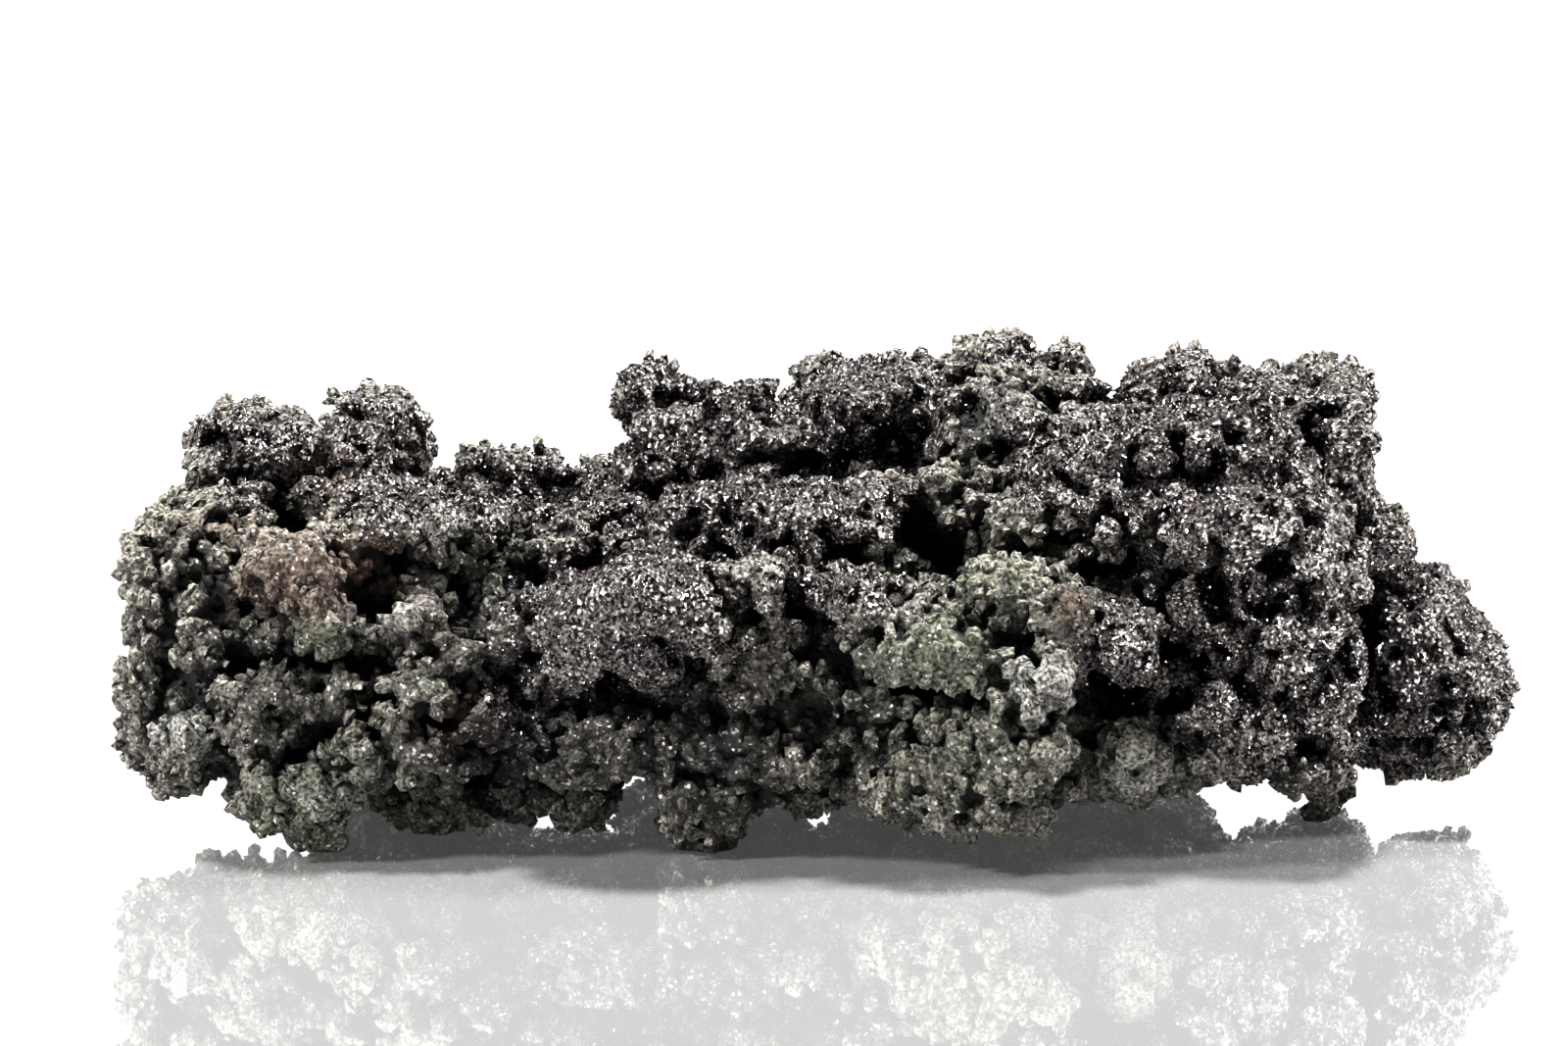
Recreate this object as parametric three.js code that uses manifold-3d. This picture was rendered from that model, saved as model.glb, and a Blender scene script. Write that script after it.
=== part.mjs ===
// A hand specimen of dark fumarole clinker, the rock that rheniite grows on: one natural piece with no loose parts.
// It is a mass of fused lumps with clefts, ledges and bubble pits between them, standing on small worn feet.
// Millimetres, +X to the right, +Y to the back, +Z up, with the origin under the middle of its box.
import * as THREE from "three";
import { MarchingCubes } from "three/addons/objects/MarchingCubes.js";
import { ImprovedNoise } from "three/addons/math/ImprovedNoise.js";
import { mergeVertices } from "three/addons/utils/BufferGeometryUtils.js";
import Module from "manifold-3d";

const LENGTH = 89; // the finished rock, end to end; everything scales with it
const FACET = 2; // the size of the facets of its skin
const FUSE = 0.12; // how softly neighbouring lumps run together
const KNOBS = [
  { size: 7, height: 1.8 }, // knobs, with creases between them
  { size: 4, height: 0.9 }, // chips
];
const CREASE = 0.4; // the part of a knob's height that its creases are cut below the plain lump
const FOOT_FLAT = 0.35; // how much of each foot's tip is worn flat

// The lumps are placed as someone in front of the rock sees them, looking slightly down on it.
const VIEW_DEG = 12;

// Each row: across, up, depth (0 at the left front foot, growing to the back), then half-sizes across, deep and
// high, and how square the lump is, from 0 round to 1 boxy.
const CORE = [
  [-29.6, 14.4, 15, 12.4, 14.6, 6.6, 0.9],
  [-17.0, 14.6, 17, 13.0, 16.4, 7.2, 0.8],
  [-4.0, 16.0, 18, 12.5, 17.6, 8.8, 0.8],
  [8.6, 17.4, 18, 12.5, 18.2, 10.6, 0.8],
  [22.0, 17.8, 18, 12.0, 16.6, 10.2, 0.9],
  [31.2, 15.8, 17, 5.2, 12.6, 9.4, 0.9],
];

const LEFT_END = [
  [-40.2, 15.6, 9.5, 3.3, 6.4, 5.0, 0.5],
  [-39.6, 9.0, 8.0, 4.2, 6.8, 3.5, 0.4],
  [-37.4, 8.4, 9.0, 4.4, 7.0, 3.0, 0.4],
  [-38.4, 19.4, 9.5, 4.6, 6.5, 2.6, 0.6],
  [-36.4, 21.9, 13, 3.4, 7.5, 1.9, 0.5],
  [-35.0, 25.4, 19, 3.8, 7.5, 2.8, 0.9],
  [-27.8, 26.2, 20, 3.5, 7.0, 3.2, 0.9],
  [-31.0, 24.8, 19, 4.0, 7.5, 2.6, 0.6],
  [-25.0, 24.4, 23, 2.0, 6.0, 1.7, 0.4],
  [-20.2, 25.2, 26, 1.8, 3.4, 1.5, 0.3],
  [-17.3, 24.9, 26, 1.9, 3.6, 1.5, 0.3],
  [-17.6, 22.4, 22, 7.0, 9.0, 1.9, 0.6],
  [-14.4, 24.2, 24, 2.4, 5.0, 1.0, 0.4],
  [-12.2, 24.6, 22, 2.4, 5.0, 1.4, 0.4],
];

const LEFT_FRONT = [
  [-31.6, 18.2, 2.6, 4.5, 4.8, 3.1, 0.4],
  [-34.4, 17.4, 3.0, 2.6, 3.8, 2.6, 0.3],
  [-30.4, 13.8, 2.4, 2.4, 3.6, 2.8, 0.3],
  [-26.4, 22.0, 7.0, 3.6, 5.4, 2.0, 0.4],
  [-22.2, 20.4, 6.0, 3.4, 5.4, 2.6, 0.4],
  [-25.6, 14.8, 1.8, 2.2, 3.0, 2.6, 0.7],
  [-21.6, 15.2, 2.0, 2.4, 3.2, 2.5, 0.6],
  [-18.0, 15.4, 2.6, 2.2, 3.4, 2.9, 0.4],
  [-26.4, 10.6, -0.6, 3.1, 3.2, 1.2, 0.6],
  [-21.8, 9.8, 0.2, 3.0, 3.6, 1.5, 0.5],
  [-25.0, 7.6, 2.2, 5.0, 5.0, 2.8, 0.5],
  [-33.2, 9.8, 4.4, 3.8, 5.2, 4.2, 0.4],
  [-31.2, 4.9, 1.8, 4.5, 4.6, 2.8, 0.6],
  [-30.6, 2.6, 0.6, 2.8, 3.0, 3.3, 0.3],
  [-23.6, 3.6, 3.6, 2.8, 3.4, 2.1, 0.4],
  [-27.0, 4.2, 4.0, 2.6, 3.4, 1.9, 0.4],
  [-18.6, 5.2, 6.0, 3.2, 5.0, 2.2, 0.5],
  [-14.4, 5.3, 6.0, 3.2, 5.0, 2.2, 0.5],
  [-14.8, 8.8, 4.0, 6.0, 6.0, 3.4, 0.5],
];

const MIDDLE_FRONT = [
  [-10.0, 15.9, -0.4, 6.0, 6.0, 4.3, 0.4],
  [-13.2, 14.4, -0.2, 3.8, 5.4, 3.4, 0.3],
  [-14.4, 20.6, 7.0, 4.0, 5.6, 1.8, 0.5],
  [-3.0, 17.8, 0.6, 3.4, 4.8, 2.4, 0.5],
  [2.2, 17.4, 0.6, 2.7, 4.8, 2.7, 0.4],
  [-2.9, 13.6, 0.0, 3.0, 4.0, 2.9, 0.6],
  [1.4, 12.6, 0.4, 2.8, 4.2, 3.2, 0.4],
  [-2.4, 8.8, 2.4, 6.6, 7.0, 3.6, 0.5],
  [-6.9, 3.2, 2.2, 2.5, 3.2, 3.4, 0.4],
  [-5.6, 5.4, 3.2, 3.8, 4.4, 2.4, 0.5],
  [-2.0, 5.0, 4.6, 4.2, 5.2, 1.6, 0.5],
  [1.6, 5.8, 5.2, 3.4, 5.2, 1.6, 0.4],
  [0.2, 21.8, 6.2, 4.6, 7.0, 2.7, 0.6],
  [-6.6, 23.0, 11, 5.4, 7.6, 2.1, 0.5],
  [-8.0, 20.2, 6.0, 3.8, 5.0, 1.9, 0.4],
];

const MIDDLE_TOP = [
  [-10.2, 29.7, 17, 2.2, 4.6, 2.1, 0.4],
  [-9.4, 27.2, 16, 3.0, 5.4, 2.4, 0.4],
  [-5.4, 27.4, 16, 4.2, 6.6, 2.8, 0.5],
  [-3.8, 28.8, 18, 2.9, 4.8, 1.9, 0.5],
  [3.8, 28.6, 16, 4.8, 7.4, 3.1, 0.5],
  [8.0, 28.8, 18, 3.4, 6.8, 2.8, 0.4],
  [11.6, 27.6, 12.6, 3.6, 5.8, 2.5, 0.7],
  [14.0, 31.2, 19, 3.6, 5.6, 1.2, 0.9],
  [16.2, 29.2, 18, 3.0, 6.2, 1.8, 0.6],
  [18.6, 26.6, 12.6, 5.6, 8.0, 2.0, 0.7],
  [23.0, 29.8, 20, 3.6, 6.8, 2.0, 0.5],
];

const RIGHT_END = [
  [29.2, 29.4, 19, 3.2, 7.0, 1.9, 0.6],
  [32.6, 28.6, 18, 3.1, 7.6, 2.6, 0.4],
  [33.2, 23.6, 16, 2.5, 8.4, 4.2, 0.6],
  [25.4, 26.2, 9.6, 7.0, 8.2, 2.7, 0.6],
  [18.2, 22.6, 6.2, 5.6, 7.2, 2.7, 0.4],
  [27.6, 20.0, 3.8, 6.4, 7.2, 4.3, 0.4],
  [29.6, 12.6, 2.2, 5.7, 7.0, 5.0, 0.4],
  [25.0, 9.2, 2.2, 4.6, 6.2, 4.2, 0.4],
  [30.2, 7.0, 6.6, 4.4, 6.0, 2.1, 0.5],
  [32.6, 4.7, 10.8, 1.7, 2.4, 1.8, 0.4],
  [32.3, 3.3, 11, 1.6, 2.0, 1.9, 0.4],
  [36.6, 19.6, 16, 2.3, 7.0, 3.4, 0.5],
  [38.2, 15.6, 15.5, 3.2, 8.0, 3.6, 0.4],
  [39.6, 11.0, 14, 4.4, 7.8, 4.3, 0.6],
  [42.2, 11.6, 15, 2.5, 5.4, 2.8, 0.4],
  [38.4, 7.4, 14, 3.8, 6.4, 1.8, 0.5],
  [41.0, 7.2, 14, 1.8, 4.6, 1.8, 0.4],
];

const RIGHT_FRONT = [
  [7.8, 13.7, -4.0, 3.8, 4.2, 2.3, 0.4],
  [4.6, 15.8, -1.2, 2.9, 4.0, 2.4, 0.4],
  [12.2, 17.4, 0.0, 4.4, 4.8, 2.1, 0.4],
  [15.6, 16.8, -2.8, 2.1, 3.0, 2.2, 0.4],
  [10.6, 6.9, 1.0, 7.0, 7.8, 4.5, 0.6],
  [13.8, 11.4, -2.8, 3.7, 4.4, 3.4, 0.5],
  [15.4, 11.6, -6.0, 1.6, 1.9, 1.1, 0.6],
  [13.6, 10.0, -5.8, 1.4, 1.8, 1.0, 0.6],
  [11.6, 12.8, -5.2, 1.4, 1.8, 1.1, 0.5],
  [16.2, 9.0, -5.0, 1.6, 1.9, 1.0, 0.6],
  [19.8, 14.0, -2.0, 2.3, 3.4, 2.5, 1.0],
  [20.5, 7.6, -2.0, 2.2, 3.6, 2.5, 0.3],
  [17.0, 3.4, 1.4, 1.3, 2.4, 1.5, 0.5],
  [6.4, 5.4, 2.6, 3.6, 6.0, 2.8, 0.5],
  [22.0, 6.0, 5.0, 4.4, 6.2, 1.7, 0.6],
];

// The far side, which nobody in front sees. It carries the two hind feet.
const BACK = [
  [-31.0, 17.0, 25, 8.0, 7.0, 5.4, 0.6],
  [-20.5, 15.6, 30, 7.2, 6.6, 5.0, 0.5],
  [-10.5, 17.2, 31, 7.0, 7.0, 6.0, 0.6],
  [1.0, 19.4, 32, 7.4, 7.0, 7.0, 0.5],
  [11.5, 21.0, 32, 7.0, 6.6, 7.2, 0.6],
  [21.5, 20.2, 30, 6.6, 6.8, 6.8, 0.6],
  [30.0, 18.0, 26, 5.6, 7.0, 6.4, 0.6],
  [-26.0, 9.8, 24, 5.4, 5.2, 3.6, 0.4],
  [-24.6, 7.6, 25, 3.0, 3.0, 3.1, 0.4],
  [-6.0, 12.4, 29, 6.4, 6.0, 4.4, 0.5],
  [6.6, 10.4, 29, 5.4, 5.2, 3.6, 0.5],
  [8.0, 8.4, 30, 3.2, 3.2, 3.0, 0.4],
  [20.0, 12.2, 29, 6.0, 6.0, 4.0, 0.5],
  [-1.0, 26.4, 27, 4.8, 5.6, 2.6, 0.4],
  [16.5, 27.0, 28, 4.8, 5.4, 2.6, 0.5],
  [-15.0, 20.8, 29, 4.6, 5.0, 2.4, 0.4],
  [36.4, 14.0, 22, 3.6, 5.6, 4.4, 0.5],
];

// Hollows, in the same columns: bubble pits high on the right, clefts round the big lumps, and holes low down.
const HOLLOWS = [
  [10.8, 28.8, 7.2, 1.15, 2.4, 1.05, 0.0],
  [13.0, 29.3, 8.2, 0.8, 2.2, 0.8, 0.0],
  [10.0, 27.3, 7.0, 1.1, 2.4, 0.8, 0.1],
  [18.0, 10.2, -4.6, 1.3, 4.4, 2.6, 0.3],
  [7.8, 19.8, -1.2, 1.9, 5.0, 1.9, 0.2],
  [20.6, 17.6, -2.6, 2.7, 4.6, 1.0, 0.2],
  [-13.6, 19.2, 0.4, 2.2, 4.2, 0.75, 0.2],
  [-5.4, 19.4, 0.0, 1.7, 4.2, 0.8, 0.2],
  [-35.4, 13.6, 0.2, 1.3, 3.8, 2.6, 0.2],
  [-28.6, 11.8, -0.8, 2.2, 3.4, 0.8, 0.2],
  [-11.2, 10.3, -3.4, 3.4, 3.6, 0.8, 0.2],
  [35.6, 14.0, 7.0, 1.0, 5.0, 4.8, 0.2],
  [6.6, 7.6, -4.4, 0.9, 2.6, 0.9, 0.0],
  [31.8, 7.4, 0.6, 1.5, 3.8, 0.9, 0.1],
  [-31.2, 25.4, 12, 0.9, 3.8, 2.0, 0.2],
  [-22.0, 17.8, 0.4, 1.7, 3.8, 0.9, 0.2],
];

// The cube that the skin is marched through: its middle, half its side, and how it is turned, in radians, so that
// the facets lie in no straight rows.
const SPACE = { middle: [0, 15, 15], half: 60, turn: [0.5, 0.4, 0.3] };
const HALF_LENGTH = 48; // no lump reaches past this, to the left or to the right
const LEAST_DEPTH = 0.25; // a lattice point lies no nearer to the skin than this, which keeps slivers out of it
const MOST_TRIANGLES = 20000;

const noise = new ImprovedNoise();
const viewAngle = THREE.MathUtils.degToRad(VIEW_DEG);

// The real place of a point given as across, up and depth in that slightly downward look.
function place(across, up, depth) {
  return new THREE.Vector3(across, depth, (up - depth * Math.sin(viewAngle)) / Math.cos(viewAngle));
}

// A table row as a shape. The exponent is 2 for an ellipsoid and grows as the lump gets squarer.
function shapeOf([across, up, depth, halfWidth, halfDepth, halfHeight, squareness]) {
  return { centre: place(across, up, depth), half: [halfWidth, halfDepth, halfHeight], exponent: 2 + 3 * squareness };
}

const LUMPS = [CORE, LEFT_END, LEFT_FRONT, MIDDLE_FRONT, MIDDLE_TOP, RIGHT_END, RIGHT_FRONT, BACK].flat().map(shapeOf);
const CLEFTS = HOLLOWS.map(shapeOf);

// Roughly how far a point is outside a shape, measured along the line from its centre.
function outside(p, { centre, half, exponent }) {
  const sum =
    Math.abs((p.x - centre.x) / half[0]) ** exponent +
    Math.abs((p.y - centre.y) / half[1]) ** exponent +
    Math.abs((p.z - centre.z) / half[2]) ** exponent;
  const reach = Math.max(sum ** (1 / exponent), 1e-3);
  return (p.distanceTo(centre) * (reach - 1)) / reach;
}

// How far a point is outside the rock, below 0 inside it: the lumps run together, knobbly, less the clefts.
function outsideRock(p) {
  let sum = Number.MIN_VALUE;
  for (const lump of LUMPS) sum += Math.exp(-outside(p, lump) / FUSE);
  let distance = -FUSE * Math.log(sum);
  KNOBS.forEach(({ size, height }, i) => {
    const wave = noise.noise(p.x / size + 3.1 * i, p.y / size + 5.7, p.z / size + 1.3);
    distance += height * (CREASE - Math.abs(wave));
  });
  for (const cleft of CLEFTS) distance = Math.max(distance, -outside(p, cleft));
  return distance;
}

// The skin of the rock: a marching-cubes surface where outsideRock is 0.
function rockSkin() {
  const cells = Math.round((2 * SPACE.half) / FACET);
  const turn = new THREE.Quaternion().setFromEuler(new THREE.Euler(...SPACE.turn));
  const middle = new THREE.Vector3(...SPACE.middle);
  const cube = new MarchingCubes(cells, undefined, false, false, MOST_TRIANGLES);
  cube.isolation = 0;
  const p = new THREE.Vector3();
  for (let i = 0; i < cube.field.length; i++) {
    p.set(i % cells, Math.floor(i / cells) % cells, Math.floor(i / cells ** 2));
    p.subScalar(cells / 2).multiplyScalar(FACET).applyQuaternion(turn).add(middle);
    const near = Math.abs(p.x) < HALF_LENGTH && p.z > -FACET;
    const depth = near ? -outsideRock(p) : -FACET;
    cube.field[i] = Math.sign(depth) * Math.max(Math.abs(depth), LEAST_DEPTH);
  }
  cube.update();
  const skin = new THREE.BufferGeometry();
  skin.setAttribute("position", new THREE.BufferAttribute(cube.positionArray.slice(0, cube.count * 3), 3));
  const half = (cells * FACET) / 2;
  skin.scale(half, half, half);
  skin.applyQuaternion(turn);
  skin.translate(middle.x, middle.y, middle.z);
  return mergeVertices(skin);
}

const wasm = await Module();
wasm.setup();

// A merged, closed geometry as a solid that can be cut.
function solidOf(geometry) {
  const mesh = new wasm.Mesh({
    numProp: 3,
    vertProperties: new Float32Array(geometry.attributes.position.array),
    triVerts: new Uint32Array(geometry.index.array),
  });
  return new wasm.Manifold(mesh);
}

// Everything below the plane that the feet are worn to, as a block.
function groundBlock() {
  const width = 3 * HALF_LENGTH;
  const block = new THREE.BoxGeometry(width, width, width);
  block.deleteAttribute("normal");
  block.deleteAttribute("uv");
  block.translate(0, 0, FOOT_FLAT - width / 2);
  return solidOf(mergeVertices(block));
}

// The skin as a solid with its feet worn flat. Crumbs that hang on nothing and bubbles sealed inside are dropped.
function buildRock() {
  const bodies = solidOf(rockSkin()).subtract(groundBlock()).decompose();
  return bodies.reduce((largest, body) => (body.volume() > largest.volume() ? body : largest));
}

// The solid as a geometry, LENGTH long, with the middle of the underside of its box at the origin.
function finished(solid) {
  const { vertProperties, triVerts } = solid.getMesh();
  const geometry = new THREE.BufferGeometry();
  geometry.setAttribute("position", new THREE.Float32BufferAttribute(vertProperties, 3));
  geometry.setIndex(new THREE.Uint32BufferAttribute(triVerts, 1));
  geometry.computeBoundingBox();
  const { min, max } = geometry.boundingBox;
  geometry.translate(-(min.x + max.x) / 2, -(min.y + max.y) / 2, -min.z);
  const scale = LENGTH / (max.x - min.x);
  geometry.scale(scale, scale, scale);
  geometry.computeVertexNormals();
  return geometry;
}

const clinker = new THREE.MeshStandardMaterial({ color: 0x4a4945, roughness: 0.85, metalness: 0.2 });
const rock = new THREE.Mesh(finished(buildRock()), clinker);
rock.name = "crusted_rock";

const specimen = new THREE.Group();
specimen.add(rock);

export default specimen;
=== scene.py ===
import math

import bpy
import numpy as np
import openvdb
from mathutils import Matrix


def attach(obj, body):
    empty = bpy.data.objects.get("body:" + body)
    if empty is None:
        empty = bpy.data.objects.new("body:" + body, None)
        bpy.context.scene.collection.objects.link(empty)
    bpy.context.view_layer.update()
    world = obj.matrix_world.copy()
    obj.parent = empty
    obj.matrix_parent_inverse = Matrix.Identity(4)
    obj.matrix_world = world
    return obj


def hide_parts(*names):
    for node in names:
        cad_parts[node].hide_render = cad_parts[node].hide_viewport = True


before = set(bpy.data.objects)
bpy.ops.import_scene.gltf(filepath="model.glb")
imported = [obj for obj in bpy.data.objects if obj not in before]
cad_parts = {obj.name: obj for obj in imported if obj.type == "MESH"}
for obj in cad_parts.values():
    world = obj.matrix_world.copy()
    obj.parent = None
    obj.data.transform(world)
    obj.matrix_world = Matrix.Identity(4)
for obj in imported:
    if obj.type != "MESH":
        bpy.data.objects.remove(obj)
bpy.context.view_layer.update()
MM = 0.001

# The rock: one piece of basaltic clinker, which cooled from a froth of half-melted lumps and crumbs. Its
# big lumps are the CAD solid's, turned here into a distance field on a fine grid: crumbs are melted onto
# it, clefts and bubbles are cut out of it, and the skin is drawn through it at the end.
VOXEL = 0.3 * MM
MARGIN = 2.4 * MM
BAND = 10  # how far the distances reach from the skin, in voxels
VIEW = math.radians(12)  # the front is looked at from this far above level
FOOT = 3  # millimetres above the ground under which the skin gets gentler, so that the feet stay whole


def triangles_of(mesh):
    """The mesh's corner points and triangles as arrays, with points that share a place merged into one."""
    points = np.empty(len(mesh.vertices) * 3)
    mesh.vertices.foreach_get("co", points)
    mesh.calc_loop_triangles()
    corners = np.empty(len(mesh.loop_triangles) * 3, np.int32)
    mesh.loop_triangles.foreach_get("vertices", corners)
    places, merged = np.unique(points.reshape(-1, 3).round(7), axis=0, return_inverse=True)
    return places, merged.ravel()[corners].reshape(-1, 3)


cad_points, cad_triangles = triangles_of(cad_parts["crusted_rock"].data)
first_voxel = np.floor((cad_points.min(0) - MARGIN) / VOXEL).astype(int)
grid_shape = np.ceil((cad_points.max(0) + MARGIN) / VOXEL).astype(int) - first_voxel
first_corner = tuple(int(i) for i in first_voxel)
lowest = first_voxel * VOXEL
level_set = openvdb.FloatGrid.createLevelSetFromPolygons(
    cad_points.astype(np.float32),
    triangles=cad_triangles.astype(np.uint32),
    transform=openvdb.createLinearTransform(VOXEL),
    halfWidth=BAND,
)
skin = np.zeros(grid_shape, np.float32)
level_set.copyToArray(skin, ijk=first_corner)
places = [lowest[k] + np.arange(grid_shape[k]) * VOXEL for k in range(3)]


def sampled(values, points):
    """A grid's values at points, each blended from the eight voxels round it."""
    steps = (points - lowest) / VOXEL
    corner = np.clip(np.floor(steps).astype(int), 0, np.array(values.shape) - 2)
    part = steps - corner
    total = np.zeros(len(points), np.float32)
    for step in np.ndindex(2, 2, 2):
        weight = np.prod(np.where(step, part, 1 - part), axis=1)
        total += weight * values[tuple((corner + step).T)]
    return total


def cloud(size, seed):
    """Smooth noise of unit spread: random values on a lattice `size` apart, blended by cubic B-splines."""
    rng = np.random.default_rng(seed)
    values = rng.standard_normal([int(n * VOXEL / size) + 5 for n in grid_shape]).astype(np.float32)
    for axis, count in enumerate(grid_shape):
        place = np.arange(count) * VOXEL / size
        whole = np.floor(place).astype(int)
        t = (place - whole).astype(np.float32)
        weights = ((1 - t) ** 3, 3 * t**3 - 6 * t**2 + 4, -3 * t**3 + 3 * t**2 + 3 * t + 1, t**3)
        column = [1, 1, 1]
        column[axis] = count
        values = sum(w.reshape(column) / 6 * np.take(values, whole + k, axis) for k, w in enumerate(weights))
    return values / values.std()


def seen(points):
    """Where points lie in the front view: how far across and how far up, in millimetres."""
    return points[:, 0] / MM, (points[:, 2] * math.cos(VIEW) + points[:, 1] * math.sin(VIEW)) / MM


def facing(across, up):
    """The point where a line of sight in the front view first meets the rock."""
    depth = np.arange(-30, 30, 0.1)
    height = (up - depth * math.sin(VIEW)) / math.cos(VIEW)
    line = np.stack([np.full(depth.size, across), depth, height], 1) * MM
    return line[np.argmax(sampled(skin, line) < 0)]


# What covers the rock where, as ovals in the front view: across, up, half width, half height and strength.
# The far side, which has no ovals of its own, gets the same kinds of cover in patches of noise.
CRUST_OVALS = [
    (-35.2, 22.9, 5.4, 3.4, 1.0),
    (-27.1, 24.2, 4.6, 3.2, 0.9),
    (-19.3, 20.1, 8.5, 2.6, 1.0),
    (-26.4, 19.6, 4.0, 2.2, 1.0),
    (-8.0, 24.5, 7.2, 5.2, 1.2),
    (-6.8, 19.5, 9.6, 4.2, 1.2),
    (-11.8, 12.0, 7.2, 5.6, 1.4),
    (0.4, 18.9, 5.6, 3.6, 1.3),
    (3.6, 25.4, 6.0, 4.2, 1.3),
    (0.8, 14.4, 5.4, 2.8, 1.0),
    (26.4, 22.0, 12.4, 7.6, 1.2),
    (28.9, 10.8, 8.6, 8.6, 1.1),
    (38.9, 10.1, 7.4, 10.4, 1.1),
    (15.8, 22.0, 5.6, 3.6, 0.9),
    (19.5, 9.8, 3.3, 4.0, 0.9),
    (13.9, 28.9, 4.0, 1.4, 0.8),
    (-18.0, 7.6, 3.4, 2.6, 0.8),
]
RUST_OVALS = [
    (-31.4, 14.4, 4.4, 3.0, 0.75),
    (-27.4, 15.4, 1.4, 2.0, 1.0),
    (-22.4, 4.8, 2.8, 1.2, 0.9),
    (-22.2, 7.6, 2.6, 1.4, 0.5),
    (-24.6, 10.8, 3.0, 2.2, 0.45),
    (16.4, 13.2, 1.6, 1.3, 0.8),
    (-5.0, 17.9, 0.4, 0.6, 1.6),
    (-30.8, 21.4, 1.6, 1.6, 0.6),
    (-11.9, 7.0, 2.0, 0.8, 0.5),
    (-37.6, 18.0, 3.4, 0.8, 0.4),
]
MOSS_OVALS = [
    (-30.8, -0.4, 5.2, 4.0, 1.0),
    (-31.2, 10.2, 2.6, 1.8, 0.8),
    (-24.2, 8.2, 2.2, 0.9, 0.8),
    (-20.4, 15.2, 2.2, 2.0, 0.9),
    (7.6, 10.1, 4.4, 2.8, 0.45),
    (12.0, 14.6, 5.2, 1.8, 0.55),
    (-1.2, 7.6, 1.6, 1.0, 0.9),
    (35.8, 20.2, 1.0, 1.4, 0.9),
    (20.0, 3.4, 2.6, 1.8, 0.6),
    (10.6, 2.6, 6.4, 4.0, 0.35),
    (-16.0, 20.0, 3.4, 1.0, 0.5),
    (11.2, 22.4, 1.8, 1.4, 0.6),
    (4.6, 16.4, 1.2, 2.6, 0.6),
]
ASH_OVALS = [
    (-40.2, 5.2, 2.6, 1.8, 1.0),
    (-30.0, 0.6, 3.2, 2.2, 0.8),
    (14.8, 7.6, 3.0, 3.0, 1.0),
    (20.4, 2.2, 2.6, 1.8, 0.8),
    (-26.6, 11.2, 3.2, 2.4, 0.6),
    (-13.4, 7.0, 1.6, 0.7, 0.6),
    (-14.8, 20.1, 3.6, 0.8, 0.9),
    (11.2, 25.6, 3.4, 3.0, 0.4),
    (-10.6, 12.4, 4.0, 2.8, 0.25),
    (-24.4, 8.4, 2.6, 0.9, 0.7),
]
SMOOTH_OVALS = [
    (-11.6, 12.4, 5.8, 4.8, 0.62),
    (0.4, 18.9, 4.4, 2.8, 0.5),
    (3.6, 25.4, 4.8, 3.4, 0.45),
    (7.6, 9.9, 4.0, 2.6, 0.45),
    (-31.6, 14.4, 3.8, 2.8, 0.6),
    (-40.6, 9.0, 3.8, 7.0, 0.45),
    (-31.2, 10.2, 2.2, 1.8, 0.6),
    (-31.0, -0.6, 4.6, 3.4, 0.85),
    (-14.8, 20.2, 3.4, 0.9, 0.8),
    (13.6, 28.8, 3.6, 1.0, 0.7),
    (11.4, 25.6, 2.8, 2.6, 0.6),
]
# Painted shade, not a cover of the rock: darker patches on the lower front and in the clefts, where shade
# falls.
PAINTED_SHADE_OVALS = [
    (-19.0, 4.4, 8.0, 4.4, 0.9),
    (-21.6, 9.4, 5.0, 4.6, 0.65),
    (-7.6, 3.8, 8.6, 4.6, 0.8),
    (-33.8, 8.0, 3.4, 4.6, 0.6),
    (6.8, 17.6, 2.4, 3.0, 0.9),
    (19.4, 14.2, 4.2, 1.6, 0.9),
    (34.6, 12.0, 1.6, 6.0, 0.8),
    (-19.4, 15.6, 3.4, 1.8, 0.7),
    (2.6, 6.8, 3.0, 3.4, 0.6),
    (12.2, 24.6, 4.0, 2.8, 0.45),
]
broad_patch = cloud(9 * MM, 11)
small_patch = cloud(2.6 * MM, 12)
BACK_FROM = 6 * MM  # the ovals start to fade this far behind the middle, and are gone at twice that

# Each cover's ovals and how much of it lies at the back: the higher the number, the more.
COVERS = {
    "crust": (CRUST_OVALS, 0.1),
    "rust": (RUST_OVALS, -1.3),
    "moss": (MOSS_OVALS, -0.9),
    "ash": (ASH_OVALS, -1.0),
    # Painted shade, laid out in the same way as the covers.
    "painted_shade": (PAINTED_SHADE_OVALS, -0.8),
}


def cover(points, ovals, back):
    """How much of a cover lies at points, 0 to 1.

    At the front it is the bell curve of the strongest oval there, exp(-distance cubed), with noise on it.
    At the back it is a soft step of the broad noise, 1 / (1 + exp(-4 (noise + back))), but on the tops,
    which are seen from the front as well, the ovals hold all the way.
    """
    across, up = seen(points)
    strength = np.zeros(len(points))
    for x, y, half_width, half_height, most in ovals:
        away = ((across - x) / half_width) ** 2 + ((up - y) / half_height) ** 2
        strength = np.maximum(strength, most * np.exp(-(away**1.5)))
    broad, small = sampled(broad_patch, points), sampled(small_patch, points)
    behind = np.clip((points[:, 1] - BACK_FROM) / BACK_FROM, 0, 1) * np.clip(1.6 - up / 14, 0, 1)
    elsewhere = 1 / (1 + np.exp(-4 * (broad + back)))
    strength = strength * (1 - behind) + elsewhere * behind
    return np.clip(strength + 0.12 * small * (strength > 0.03), 0, 1)


ROOM = 1.3  # how far round its centre a form changes the field, in its radii


def block_round(centre, reach):
    """The part of the grid that reaches so far round a centre, as slices."""
    low = np.maximum(np.floor((centre - reach - lowest) / VOXEL).astype(int), 0)
    high = np.minimum(np.ceil((centre + reach - lowest) / VOXEL).astype(int) + 1, grid_shape)
    return tuple(slice(a, b) for a, b in zip(low, high))


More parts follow.
